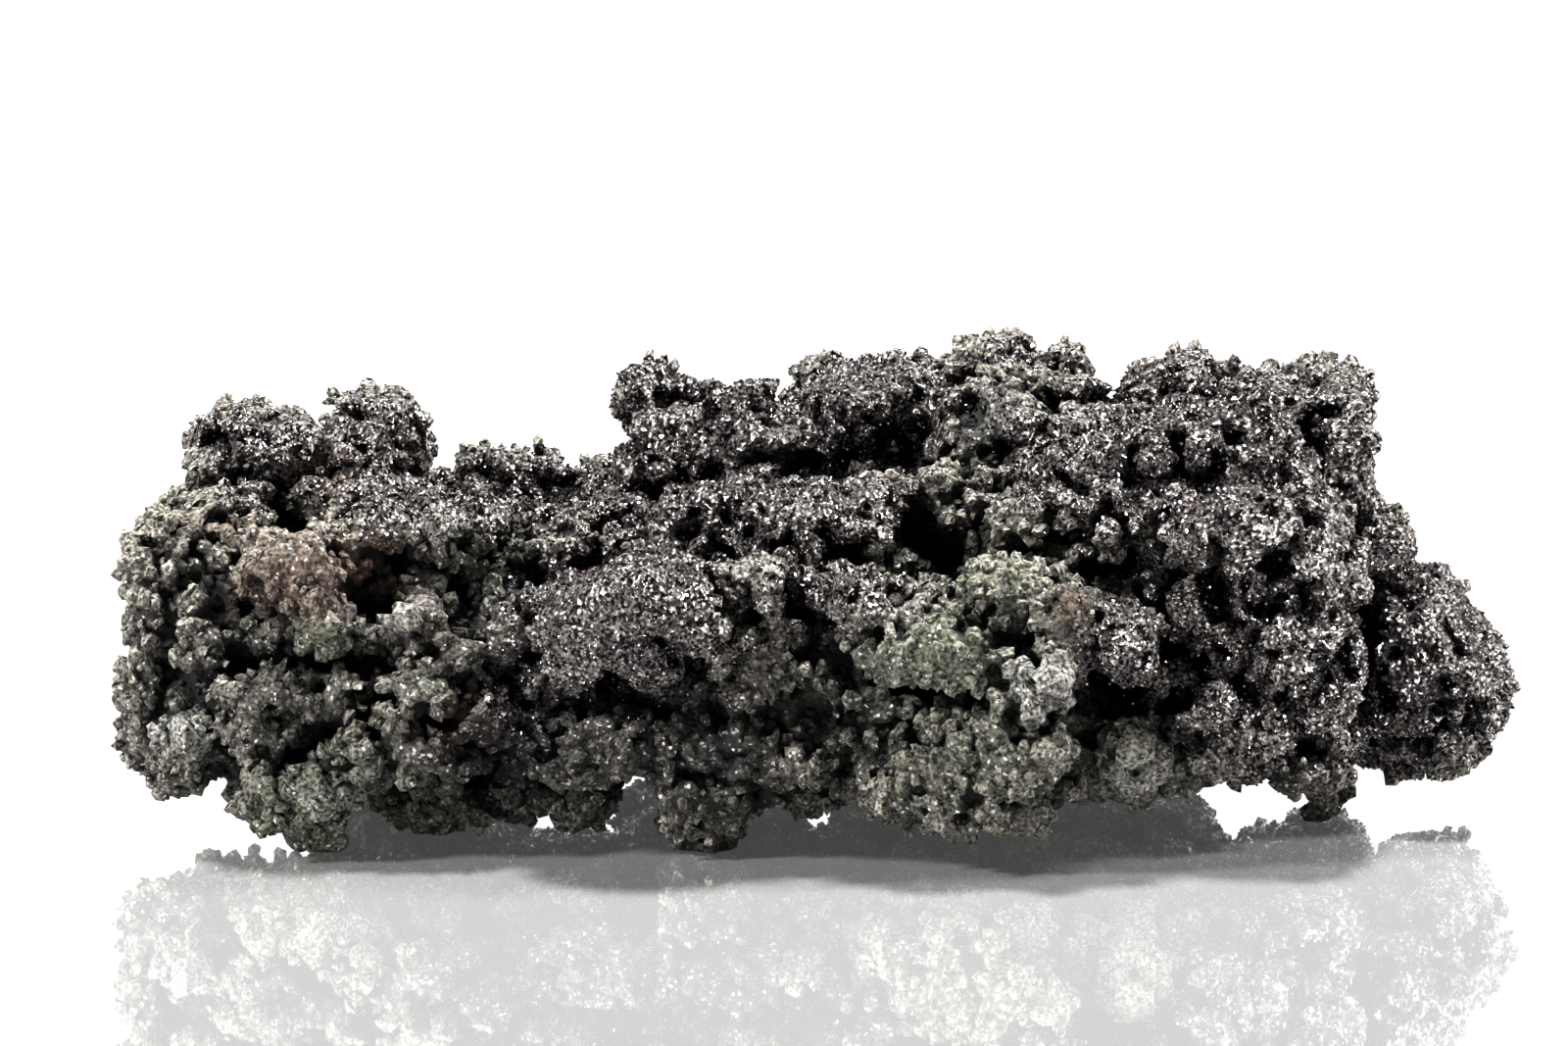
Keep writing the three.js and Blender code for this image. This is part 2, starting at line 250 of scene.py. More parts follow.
def melt_on(centres, radii, turns, squareness, softness):
    """Adds crumbs to the field, each a turned, rounded block that runs smoothly into what it sits on.

    A block is where the sum of (distance along an axis / radius) ** squareness is under 1: 2 makes an
    ellipsoid, and more makes it squarer. The lower of block and skin is kept, with a quadratic blend
    where the two are within `softness` times the least radius of each other.
    """
    for centre, radius, turn, power in zip(centres, radii, turns, squareness):
        block = block_round(centre, radius.max() * ROOM + 2 * VOXEL)
        x, y, z = np.ix_(*(places[k][block[k]] - centre[k] for k in range(3)))
        away = sum(
            np.abs((x * turn[k, 0] + y * turn[k, 1] + z * turn[k, 2]) / radius[k]) ** power for k in range(3)
        ) ** (1 / power)
        crumb = (away - 1) * radius.min()
        blend = softness * radius.min()
        near = np.clip(0.5 + (skin[block] - crumb) / (2 * blend), 0, 1)
        skin[block] = skin[block] * (1 - near) + crumb * near - blend * near * (1 - near)


TRIES = 5  # random places for each cell of the lattice, so that few cells stay empty
MOST_CELLS = 4096  # more cells than the rock is long


def scattered(points, triangles, spacing, seed):
    """Random places on a surface, one for each cell of a lattice `spacing` wide, each with the way out."""
    rng = np.random.default_rng(seed)
    a, b, c = (points[triangles[:, k]] for k in range(3))
    out = np.cross(b - a, c - a)
    area = np.linalg.norm(out, axis=1) / 2
    count = int(TRIES * area.sum() / spacing**2)
    pick = rng.choice(len(triangles), count, p=area / area.sum())
    u, v = rng.random((2, count, 1))
    u, v = np.where(u + v > 1, 1 - u, u), np.where(u + v > 1, 1 - v, v)
    place = a[pick] + u * (b - a)[pick] + v * (c - a)[pick]
    cell = np.floor((place - place.min(0)) / spacing).astype(np.int64)
    key = (cell[:, 0] * MOST_CELLS + cell[:, 1]) * MOST_CELLS + cell[:, 2]
    kept = np.unique(key, return_index=True)[1]
    rng.shuffle(kept)
    pick = pick[kept]
    return place[kept], out[pick] / (2 * area[pick, None] + 1e-20)


# The lumps that give the front its look: across and up in the front view, half width, half height, how far
# each stands out of the shrunken rock, and how square it is.
LUMPS = [
    (-38.3, 22.9, 1.9, 2.2, 1.6, 0.6),
    (-35.2, 23.9, 2.8, 2.5, 1.6, 0.7),
    (-27.4, 24.8, 2.4, 2.2, 1.6, 0.7),
    (-29.6, 23.0, 1.4, 1.6, 1.2, 0.5),
    (-31.8, 24.6, 2.2, 1.8, 1.6, 0.6),
    (-33.6, 23.2, 2.0, 2.2, 1.6, 0.6),
    (-25.5, 18.9, 2.5, 1.6, 1.9, 0.3),
    (-28.3, 19.5, 1.6, 1.3, 1.6, 0.3),
    (-36.7, 18.9, 2.5, 1.1, 1.4, 0.4),
    (-41.1, 17.3, 2.2, 1.6, 1.5, 0.3),
    (-33.0, 15.4, 2.8, 2.5, 2.4, 0.3),
    (-29.6, 16.4, 2.2, 2.2, 2.4, 0.4),
    (-34.9, 13.9, 1.6, 1.9, 1.9, 0.3),
    (-30.8, 11.4, 1.8, 2.2, 2.2, 0.2),
    (-25.8, 11.4, 1.8, 2.5, 2.2, 0.6),
    (-22.1, 10.8, 1.6, 1.9, 2.0, 0.5),
    (-19.9, 11.4, 1.1, 1.6, 1.8, 0.5),
    (-24.3, 13.9, 1.0, 0.8, 1.6, 0.3),
    (-26.8, 7.6, 2.8, 0.9, 2.0, 0.5),
    (-22.4, 5.1, 2.8, 0.9, 2.0, 0.5),
    (-23.3, 17.1, 1.3, 1.1, 1.6, 0.3),
    (-21.4, 15.8, 1.4, 1.2, 1.6, 0.3),
    (-39.9, 4.8, 1.9, 1.4, 1.8, 0.9),
    (-42.1, 7.6, 1.8, 1.5, 1.5, 0.3),
    (-41.6, 12.6, 1.8, 1.9, 1.5, 0.3),
    (-38.6, 10.1, 1.8, 1.6, 1.5, 0.3),
    (-33.6, 7.6, 1.2, 1.0, 1.4, 0.4),
    (-30.4, 6.2, 1.2, 0.9, 1.4, 0.4),
    (-31.0, 1.4, 3.0, 2.0, 1.8, 0.8),
    (-28.4, -0.4, 2.4, 1.8, 1.6, 0.6),
    (-23.6, 0.6, 2.2, 1.6, 1.6, 0.5),
    (-15.4, 3.2, 2.4, 1.2, 1.6, 0.4),
    (-11.2, 13.4, 4.8, 3.2, 2.9, 0.4),
    (-14.8, 11.2, 3.0, 3.6, 2.6, 0.3),
    (-8.2, 12.8, 2.6, 3.4, 2.6, 0.5),
    (-11.6, 9.8, 3.4, 2.2, 2.7, 0.4),
    (-15.2, 8.2, 1.8, 1.4, 2.4, 0.2),
    (-4.2, 14.5, 1.9, 1.6, 1.9, 0.3),
    (-0.5, 15.1, 2.5, 1.6, 1.9, 0.3),
    (2.6, 13.9, 2.2, 1.9, 1.9, 0.4),
    (-3.0, 10.1, 2.2, 2.5, 1.8, 0.6),
    (0.4, 18.9, 4.4, 2.4, 2.0, 0.3),
    (-9.6, 26.4, 2.6, 2.4, 1.6, 0.4),
    (-4.3, 26.2, 2.2, 1.6, 1.6, 0.4),
    (-8.0, 22.6, 2.2, 1.6, 1.5, 0.3),
    (-3.0, 22.6, 2.0, 1.5, 1.5, 0.3),
    (3.9, 25.7, 4.6, 3.1, 1.9, 0.4),
    (-7.8, 18.6, 2.0, 1.4, 1.4, 0.3),
    (-14.0, 18.0, 2.2, 1.2, 1.4, 0.3),
    (-18.6, 22.6, 1.6, 1.4, 1.4, 0.2),
    (-16.0, 22.2, 1.4, 1.2, 1.4, 0.2),
    (-10.0, 4.4, 3.0, 1.8, 1.6, 0.5),
    (-14.8, 6.0, 2.6, 1.2, 1.6, 0.4),
    (-7.0, 0.4, 2.4, 2.0, 1.6, 0.5),
    (11.4, 24.8, 3.1, 2.8, 1.7, 0.6),
    (13.6, 28.2, 3.4, 0.9, 1.0, 0.9),
    (21.7, 26.7, 2.2, 1.6, 1.5, 0.3),
    (24.3, 27.0, 1.8, 1.5, 1.5, 0.3),
    (16.4, 23.6, 2.8, 0.8, 1.7, 0.8),
    (18.9, 21.4, 2.8, 2.2, 1.7, 0.3),
    (23.3, 23.3, 3.5, 2.0, 1.7, 0.3),
    (28.9, 25.1, 3.1, 2.2, 1.7, 0.3),
    (33.3, 25.1, 2.2, 2.8, 1.7, 0.3),
    (14.5, 18.9, 3.1, 1.6, 1.7, 0.3),
    (26.4, 17.6, 3.6, 2.7, 1.9, 0.3),
    (22.0, 16.4, 2.2, 1.9, 1.8, 0.3),
    (31.4, 16.4, 2.7, 3.1, 1.9, 0.3),
    (25.7, 12.0, 2.8, 2.2, 2.0, 0.3),
    (29.5, 10.8, 3.1, 2.7, 2.0, 0.3),
    (26.4, 5.2, 3.0, 2.4, 1.9, 0.3),
    (31.4, 5.0, 2.4, 2.2, 1.8, 0.3),
    (19.5, 9.9, 2.2, 3.0, 2.5, 1.0),
    (15.4, 8.2, 1.7, 1.2, 2.3, 0.8),
    (13.9, 6.4, 1.5, 1.4, 2.2, 0.7),
    (16.4, 5.1, 1.5, 1.2, 2.2, 0.7),
    (14.5, 3.4, 1.8, 1.4, 2.0, 0.6),
    (17.8, 3.2, 1.3, 1.2, 2.0, 0.6),
    (20.4, 3.3, 1.9, 2.4, 2.0, 0.5),
    (7.6, 9.9, 3.8, 2.4, 2.0, 0.3),
    (16.4, 14.5, 1.8, 1.8, 2.0, 0.5),
    (15.8, 12.4, 1.6, 1.2, 2.0, 0.6),
    (12.4, 13.4, 1.6, 1.2, 1.8, 0.4),
    (10.6, 2.8, 5.4, 3.2, 1.8, 0.4),
    (6.0, 1.0, 2.4, 1.6, 1.6, 0.4),
    (38.3, 16.4, 2.2, 3.1, 1.7, 0.3),
    (40.1, 11.4, 2.8, 2.8, 1.7, 0.3),
    (37.6, 7.6, 2.8, 3.1, 1.7, 0.3),
    (42.0, 8.2, 1.9, 2.5, 1.6, 0.3),
    (40.1, 3.9, 2.5, 1.8, 1.6, 0.3),
]
SHRUNK, SHRUNK_MORE_OR_LESS = 0.85 * MM, 0.3 * MM
A_LITTLE, ANY_WAY = 0.12, 1.2  # spreads of random turns


def turned(count, spread, rng):
    """Rotation matrices of random turns, from quaternions (1, x, y, z) with x, y and z of this spread."""
    about = rng.normal(0, spread, (count, 3))
    size = np.sqrt(1 + (about**2).sum(1))
    w, (x, y, z) = 1 / size, (about / size[:, None]).T
    rows = [
        [1 - 2 * (y * y + z * z), 2 * (x * y - z * w), 2 * (x * z + y * w)],
        [2 * (x * y + z * w), 1 - 2 * (x * x + z * z), 2 * (y * z - x * w)],
        [2 * (x * z - y * w), 2 * (y * z + x * w), 1 - 2 * (x * x + y * y)],
    ]
    return np.moveaxis(np.array(rows), -1, 0)


def settled(points):
    """Moves points onto the skin along the field's steepest way, and gives the way out there too."""
    for _ in range(3):
        steps = np.eye(3) * VOXEL
        rises = [sampled(skin, points + step) - sampled(skin, points - step) for step in steps]
        slope = np.stack(rises, 1)
        out = slope / (np.linalg.norm(slope, axis=1, keepdims=True) + 1e-9)
        points = points - out * sampled(skin, points)[:, None]
    return points, out


def cluster(spacing, least, most, proud, sink, seed):
    """Covers the skin with crumbs of radii `least` to `most`, about one in each cell `spacing` wide.

    There are fewer where it is calm. They stand up to `proud` out of it, and the skin between them is sunk
    by `sink`. Every cell has its draws, with a crumb in it or not, so that a change in one place leaves
    the crumbs elsewhere as they are.
    """
    rng = np.random.default_rng(seed)
    cells = np.array([int(n * VOXEL / spacing) + 1 for n in grid_shape])
    count = cells.prod()
    seats = (np.indices(cells).reshape(3, -1).T + rng.random((count, 3))) * spacing + lowest
    share, size, stands = rng.random((3, count))
    stretch, squareness = rng.uniform(0.8, 1.2, (count, 3)), rng.uniform(2, 6, count)
    turns = turned(count, ANY_WAY, rng)
    kept = (np.abs(sampled(skin, seats)) < 0.5 * spacing) & (share > 1.3 * sampled(calm, seats))
    seats, out = settled(seats[kept])
    radius = (least + (most - least) * size[kept]) * np.clip(0.4 + seats[:, 2] / (FOOT * MM), 0.4, 1)
    centres = seats + out * (proud * (0.2 + 0.8 * stands[kept]) - radius)[:, None]
    skin[:] += sink * relief
    melt_on(centres, radius[:, None] * stretch[kept], turns[kept], squareness[kept], 0.08)


# The field is shrunk first, so that the lumps and crumbs bring it back to size with gaps between them.
bumps = cloud(3.2 * MM, 21)
solid = skin.copy()
skin += (SHRUNK + SHRUNK_MORE_OR_LESS * bumps) * np.clip(places[2] / (FOOT * MM), 0.2, 1)
rng = np.random.default_rng(25)
lumps = np.array(LUMPS)
radii = np.stack([lumps[:, 2], lumps[:, 2:4].mean(1), lumps[:, 3]], 1) * MM
inward = np.array([0, math.cos(VIEW), -math.sin(VIEW)])
centres = np.array([facing(x, y) for x, y, *_ in LUMPS])
centres += inward * (radii[:, 1] - lumps[:, 4] * MM)[:, None]
melt_on(centres, radii, turned(len(lumps), A_LITTLE, rng), 2 + 2.5 * lumps[:, 5], 0.12)

# Every lump is itself a cluster of smaller ones, down to crumbs, except where the ovals say it is smooth.
across, along, height = np.ix_(*(place / MM for place in places))
up = height * math.cos(VIEW) + along * math.sin(VIEW)
calm = np.zeros(grid_shape, np.float32)
for x, y, half_width, half_height, most in SMOOTH_OVALS:
    away = ((across - x) / half_width) ** 2 + ((up - y) / half_height) ** 2
    calm = np.maximum(calm, most * np.exp(-(away**1.5)).astype(np.float32) * (along < 10))
relief = (np.clip(0.25 + 0.75 * height / FOOT, 0.25, 1) * (1 - 0.7 * calm)).astype(np.float32)

# Three sizes of crumb, in millimetres: spacing, least and most radius, how far they stand out, how far
# the skin between them is sunk.
LAYERS = [
    (4.2, 1.2, 2.0, 0.5, 0.2),
    (2.2, 0.7, 1.2, 0.55, 0.42),
    (1.2, 0.4, 0.7, 0.42, 0.3),
]
for seed, layer in enumerate(LAYERS, 30):
    cluster(*(length * MM for length in layer), seed)

# Clefts: across and up in the front view, half width, half height, and how deep they go.
CLEFTS = [
    (-35.6, 11.2, 1.4, 3.6, 3.4),
    (-30.4, 9.2, 3.2, 1.0, 2.2),
    (-28.0, 7.0, 2.0, 0.8, 2.0),
    (-21.6, 12.6, 1.6, 1.6, 2.4),
    (-25.6, 16.0, 0.8, 1.6, 1.8),
    (-21.4, 16.6, 1.8, 0.8, 2.2),
    (-22.0, 19.8, 1.2, 0.6, 1.8),
    (-19.6, 21.0, 1.6, 0.5, 1.8),
    (-13.4, 16.2, 1.6, 0.6, 1.8),
    (-5.4, 16.4, 1.6, 0.7, 2.2),
    (-6.4, 8.6, 1.6, 0.8, 2.2),
    (-12.8, 6.2, 4.4, 0.7, 2.6),
    (-18.6, 10.2, 1.0, 2.2, 2.2),
    (-7.6, 20.6, 0.8, 0.8, 1.8),
    (2.2, 20.6, 1.0, 1.0, 1.6),
    (6.6, 17.6, 1.2, 2.2, 3.2),
    (8.6, 15.6, 1.0, 1.4, 3.0),
    (17.6, 15.4, 2.4, 0.9, 3.2),
    (20.6, 13.6, 1.8, 0.9, 2.8),
    (17.6, 7.4, 1.2, 2.4, 3.6),
    (5.8, 11.6, 0.8, 1.2, 2.0),
    (6.4, 4.0, 0.9, 0.9, 2.6),
    (0.0, 5.6, 1.6, 1.6, 2.2),
    (3.2, 4.6, 0.8, 2.0, 2.0),
    (29.4, 15.4, 1.4, 0.9, 1.8),
    (25.6, 13.4, 1.0, 1.8, 2.2),
    (35.0, 11.4, 0.7, 4.6, 3.0),
    (31.8, 3.6, 1.2, 0.8, 2.4),
    (24.4, 4.2, 1.4, 1.0, 2.0),
    (20.4, 19.6, 1.0, 0.6, 1.6),
    (10.0, 25.0, 1.3, 1.2, 3.2),
    (12.9, 25.8, 0.9, 1.0, 2.8),
    (11.6, 27.6, 0.8, 0.6, 2.0),
    (14.4, 24.6, 0.9, 0.6, 1.8),
    (-24.0, 21.8, 0.7, 1.6, 1.6),
    (-31.0, 22.2, 0.8, 1.6, 1.6),
    (-32.4, 3.6, 1.6, 0.8, 1.8),
    (-17.0, 3.4, 1.4, 0.8, 1.8),
    (-21.6, 1.4, 1.0, 1.4, 2.0),
    (12.6, 5.8, 0.7, 1.2, 1.8),
    (-27.0, 13.0, 1.0, 0.7, 1.6),
]


FRAYED = 0.12 * MM


def cut_out(centres, radii):
    """Takes ovals out of the field, each with a slightly frayed wall."""
    for centre, radius in zip(centres, radii):
        block = block_round(centre, radius * ROOM)
        x, y, z = np.ix_(*((places[k][block[k]] - centre[k]) / radius[k] for k in range(3)))
        oval = (1 - np.sqrt(x * x + y * y + z * z)) * radius.min() + FRAYED * bumps[block]
        skin[block] = np.maximum(skin[block], oval)


cleft_centres = np.array([facing(x, y) for x, y, *_ in CLEFTS])
cut_out(cleft_centres, np.array([(w, deep, h) for _, _, w, h, deep in CLEFTS]) * MM)

# Burst bubbles all over the clinker, fewer on the smooth lumps.
BUBBLE_SPACING, BUBBLE_RADII = 3.0 * MM, (0.3, 0.8)
rng = np.random.default_rng(51)
seats, _ = scattered(cad_points, cad_triangles, BUBBLE_SPACING, 52)
seats, _ = settled(seats)
kept = rng.random(len(seats)) > 0.45 + 0.5 * cover(seats, SMOOTH_OVALS, -1.2)
bubble = rng.uniform(*BUBBLE_RADII, (kept.sum(), 1)) * MM * rng.uniform(0.8, 1.3, (kept.sum(), 3))
cut_out(seats[kept], bubble)

# Grit: the field is roughened with two sizes of fine noise.
skin += 0.10 * MM * cloud(0.9 * MM, 61) + 0.07 * MM * cloud(0.55 * MM, 62)

# What stands further out of the solid than this is pressed back towards it.
STANDS_OUT, PRESS = 0.35 * MM, 1.5
skin += PRESS * np.maximum(solid - STANDS_OUT, 0)

# Beyond the sides and the top of the solid's box the field is raised, which presses back what stands too
# far out. The second number is where that begins, in millimetres from the box.
for axis, allowed in ((0, 0.2), (1, -0.35), (2, -0.15)):
    beyond = places[axis] - cad_points[:, axis].max()
    if axis < 2:
        beyond = np.maximum(beyond, cad_points[:, axis].min() - places[axis])
    column = [1, 1, 1]
    column[axis] = len(beyond)
    skin += PRESS * np.maximum(beyond - allowed * MM, 0).reshape(column)

# The feet end on the plane that they stand on.
skin = np.maximum(skin, -places[2][None, None, :]).astype(np.float32)


def blurred(values, reach):
    """A grid's values averaged three times, each over a box that reaches so many voxels each way."""
    width = 2 * reach + 1
    for axis in 3 * (0, 1, 2):
        edges = [(0, 0)] * 3
        edges[axis] = (reach + 1, reach)
        total = np.cumsum(np.pad(values, edges, "edge"), axis=axis, dtype=np.float64)
        ends = [np.take(total, np.arange(k, k + values.shape[axis]), axis) for k in (0, width)]
        values = ((ends[1] - ends[0]) / width).astype(np.float32)
    return values


# The averaged field tells hollow from proud: on the skin it is negative where there is rock all round. At
# these depths below zero a narrow and a wide hollow count in full.
recess = blurred(np.clip(skin, -2 * MM, 2 * MM), 1)
wide_recess = blurred(recess, 4)
FULL_NARROW, FULL_WIDE = 0.18 * MM, 0.7 * MM


def mesh_of(name, points, faces):
    """An object at the origin from an array of points and an array of faces."""
    mesh = bpy.data.meshes.new(name)
    mesh.vertices.add(len(points))
    mesh.vertices.foreach_set("co", np.ascontiguousarray(points, np.float32).ravel())
    mesh.loops.add(faces.size)
    mesh.loops.foreach_set("vertex_index", np.ascontiguousarray(faces, np.int32).ravel())
    mesh.polygons.add(len(faces))
    mesh.polygons.foreach_set("loop_start", np.arange(0, faces.size, faces.shape[1], dtype=np.int32))
    mesh.update(calc_edges=True)
    piece = bpy.data.objects.new(name, mesh)
    bpy.context.scene.collection.objects.link(piece)
    return piece


def largest_body(points, faces):
    """Keeps the largest connected skin alone: each point takes the lowest number that it can reach."""
    first, second = faces.ravel(), np.roll(faces, -1, axis=1).ravel()
    label = np.arange(len(points))
    while True:
        low = np.minimum(label[first], label[second])
        before = label.copy()
        np.minimum.at(label, first, low)
        np.minimum.at(label, second, low)
        label = label[label]
        if np.array_equal(before, label):
            break
    largest = np.bincount(label).argmax()
    kept = label == largest
    number = np.cumsum(kept) - 1
    return points[kept], number[faces[kept[faces[:, 0]]]]


field = openvdb.FloatGrid(BAND * VOXEL)
field.copyFromArray(skin, ijk=first_corner)
field.transform = openvdb.createLinearTransform(VOXEL)
skin_points, skin_faces = field.convertToQuads(isovalue=0.0)
skin_points, skin_faces = largest_body(skin_points, skin_faces.astype(np.int64))
rock = mesh_of("clinker_rock", skin_points, skin_faces)
MOST_TRIANGLES = 196000
bpy.context.view_layer.objects.active = rock
thin = rock.modifiers.new("thin", "DECIMATE")
thin.ratio = MOST_TRIANGLES / (2 * len(skin_faces))
thin.use_collapse_triangulate = True
bpy.ops.object.modifier_apply(modifier="thin")
rock_points, rock_triangles = triangles_of(rock.data)


def set_values(piece, name, values):
    """Stores one number for each point of a piece."""
    piece.data.attributes.new(name, "FLOAT", "POINT").data.foreach_set("value", values.astype(np.float32))


def points_of(piece):
    """The piece's points as an array."""
    points = np.empty(len(piece.data.vertices) * 3)
    piece.data.vertices.foreach_get("co", points)
    return points.reshape(-1, 3)


def set_cover(piece, points):
    """Stores how much of each cover and of the painted shade, and how deep a recess, each point of a piece
    has.
    """
    for name, (ovals, back) in COVERS.items():
        set_values(piece, name, cover(points, ovals, back))
    depth = np.maximum(-sampled(recess, points) / FULL_NARROW, -sampled(wide_recess, points) / FULL_WIDE)
    set_values(piece, "recess", np.clip(depth, -1.5, 1))


set_cover(rock, points_of(rock))


def linear(hex_colour):
    """An sRGB hex colour as linear red, green, blue and a solid alpha."""
    parts = [int(hex_colour[i : i + 2], 16) / 255 for i in (1, 3, 5)]
    return [c / 12.92 if c <= 0.04045 else ((c + 0.055) / 1.055) ** 2.4 for c in parts] + [1.0]


def emptied(owner):
    """The node tree of a material or a world, with no nodes in it yet."""
    owner.use_nodes = True
    owner.node_tree.nodes.clear()
    return owner.node_tree


def add(tree, kind, inputs=(), **settings):
    """Adds a node with its settings. Each input gets a value, or a link where that is a node's output.

    An input goes by its name or its number. Map Range: 0 the value, 1 and 2 the range it comes from, 3
    and 4 the range it goes to, at first 0 to 1 for both. Mix of colours: 0 the share of the second, 6 and
    7 the two.
    """
    node = tree.nodes.new(kind)
    for name, setting in settings.items():
        setattr(node, name, setting)
    for name, value in dict(inputs).items():
        if isinstance(value, bpy.types.NodeSocket):
            tree.links.new(value, node.inputs[name])
        else:
            node.inputs[name].default_value = value
    return node.outputs


def stone_material(name, dust_and_highlight):
    """Basaltic clinker, olive to grey: a rough dull stone with black painted shade in its hollows and pale
    specks of dust and painted highlight.

    Where the crust attribute says so it is under rheniite, whose tiny mirrors each lie at an angle of
    their own, so that some flash white beside others that stay black. The attributes say how much of each
    cover and of the painted shade lies where, and the second argument is the most that a pale speck of
    dust and painted highlight hides of the stone.
    """
    material = bpy.data.materials.new(name)
    tree = emptied(material)
    named = ("crust", "rust", "moss", "ash", "painted_shade", "recess")
    amount = {each: add(tree, "ShaderNodeAttribute", attribute_name=each)["Fac"] for each in named}
    place = add(tree, "ShaderNodeTexCoord")["Object"]

    # The stone: grains of about 0.3 mm and blotches of about 2 mm, from nearly black to a greyish olive.
    fine, broad = 1 / (0.28 * MM), 1 / (2.4 * MM)
    grain = add(tree, "ShaderNodeTexNoise", {"Vector": place, "Scale": fine, "Detail": 4.0})["Fac"]
    blotch = add(tree, "ShaderNodeTexNoise", {"Vector": place, "Scale": broad, "Detail": 4.0})["Fac"]
    patchy = add(tree, "ShaderNodeMapRange", {0: blotch, 1: 0.35, 2: 0.65})[0]
    speckled = add(tree, "ShaderNodeMapRange", {0: grain, 1: 0.47, 2: 0.74})[0]
    dark = {6: linear("#080705"), 7: linear("#14120e")}
    stone = add(tree, "ShaderNodeMix", {0: patchy, **dark}, data_type="RGBA")[2]
    stone = add(tree, "ShaderNodeMix", {0: speckled, 6: stone, 7: linear("#403d33")}, data_type="RGBA")[2]

    # Pale specks, partly dust and partly painted highlight, on whatever stands out or faces up: the upward
    # faces are painted lighter, as if lit from above.
    way = add(tree, "ShaderNodeSeparateXYZ", {0: add(tree, "ShaderNodeNewGeometry")["Normal"]})
    upward = add(tree, "ShaderNodeMapRange", {0: way["Z"], 1: -0.4, 2: 0.8})[0]
    proud = add(tree, "ShaderNodeMapRange", {0: amount["recess"], 1: 0.1, 2: -1.2})[0]
    proud_and_upward = add(tree, "ShaderNodeMath", {0: proud, 1: upward}, operation="ADD")[0]
    dust_and_highlight_share = add(tree, "ShaderNodeMapRange", {0: proud_and_upward, 1: 0.5, 2: 1.8})[0]
    flecks = add(tree, "ShaderNodeMapRange", {0: grain, 1: 0.36, 2: 0.62, 4: dust_and_highlight})[0]
    speck = add(tree, "ShaderNodeMath", {0: dust_and_highlight_share, 1: flecks}, operation="MULTIPLY")[0]
    stone = add(tree, "ShaderNodeMix", {0: speck, 6: stone, 7: linear("#c2beaf")}, data_type="RGBA")[2]

    # Brown iron rust, a green bloom and grey ash, each with darker and lighter grains, then painted shade
    # over them, darkest on the lower front and in the clefts.
    grainy = add(tree, "ShaderNodeMapRange", {0: grain, 1: 0.38, 2: 0.7})[0]
    coats = (("rust", "#170d08", "#75523d"), ("moss", "#0f120b", "#6f775d"), ("ash", "#161513", "#a09f97"))
    for each, low, high in coats:
        coat = add(tree, "ShaderNodeMix", {0: grainy, 6: linear(low), 7: linear(high)}, data_type="RGBA")[2]
        stone = add(tree, "ShaderNodeMix", {0: amount[each], 6: stone, 7: coat}, data_type="RGBA")[2]
    # Painted shade: near black laid over the stone where its ovals say.
    painted_shade_share = add(tree, "ShaderNodeMapRange", {0: amount["painted_shade"], 4: 0.9})[0]
    stone = add(tree, "ShaderNodeMix", {0: painted_shade_share, 6: stone, 7: linear("#0c0b0a")}, data_type="RGBA")[2]

    # Platelets of about 0.2 mm, a little coarser than the real ones so that they show. Each has a
    # brightness of its own, and is there or not by its own share of the crust.
    cells = add(tree, "ShaderNodeTexVoronoi", {"Vector": place, "Scale": 1 / (0.2 * MM)})["Color"]
    own = add(tree, "ShaderNodeSeparateColor", {0: cells})
    left = add(tree, "ShaderNodeMath", {0: amount["crust"], 1: own[0]}, operation="SUBTRACT")[0]
    shiny = add(tree, "ShaderNodeMapRange", {0: left, 1: -0.25, 2: 0.15})[0]
    bright = add(tree, "ShaderNodeMath", {0: own[1], 1: 2.7}, operation="POWER")[0]
    ends = {6: linear("#1d1517"), 7: linear("#fdf7f4")}
    metal = add(tree, "ShaderNodeMix", {0: bright, **ends}, data_type="RGBA")[2]
    body = add(tree, "ShaderNodeMix", {0: shiny, 6: stone, 7: metal}, data_type="RGBA")[2]
    # Painted shade: the deeper a recess, the nearer to black, as shade falls there.
    hollow = add(tree, "ShaderNodeMapRange", {0: amount["recess"], 1: -0.4, 2: 0.35})[0]
    body = add(tree, "ShaderNodeMix", {0: hollow, 6: body, 7: linear("#020202")}, data_type="RGBA")[2]

    # The grains bump the surface, and where there is crust each platelet leans it over as a whole.
    bump = add(tree, "ShaderNodeBump", {"Height": grain, "Strength": 0.9, "Distance": 0.3 * MM})[0]
    lean = add(tree, "ShaderNodeVectorMath", {0: cells, 1: (0.5, 0.5, 0.5)}, operation="SUBTRACT")[0]
    reach = add(tree, "ShaderNodeMapRange", {0: shiny, 4: 1.5})[0]
    lean = add(tree, "ShaderNodeVectorMath", {0: lean, "Scale": reach}, operation="SCALE")[0]
    normal = add(tree, "ShaderNodeVectorMath", {0: bump, 1: lean}, operation="ADD")[0]
    normal = add(tree, "ShaderNodeVectorMath", {0: normal}, operation="NORMALIZE")[0]
    metallic = add(tree, "ShaderNodeMapRange", {0: shiny, 4: 0.85})[0]
    roughness = add(tree, "ShaderNodeMapRange", {0: shiny, 3: 0.85, 4: 0.18})[0]
    looks = {"Base Color": body, "Metallic": metallic, "Roughness": roughness, "Normal": normal}
    surface = add(tree, "ShaderNodeBsdfPrincipled", looks)[0]
    add(tree, "ShaderNodeOutputMaterial", {"Surface": surface})
    return material


rock.data.materials.append(stone_material("weathered basaltic clinker", 0.42))
rock.data.shade_flat()
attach(rock, "root")
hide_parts("crusted_rock")

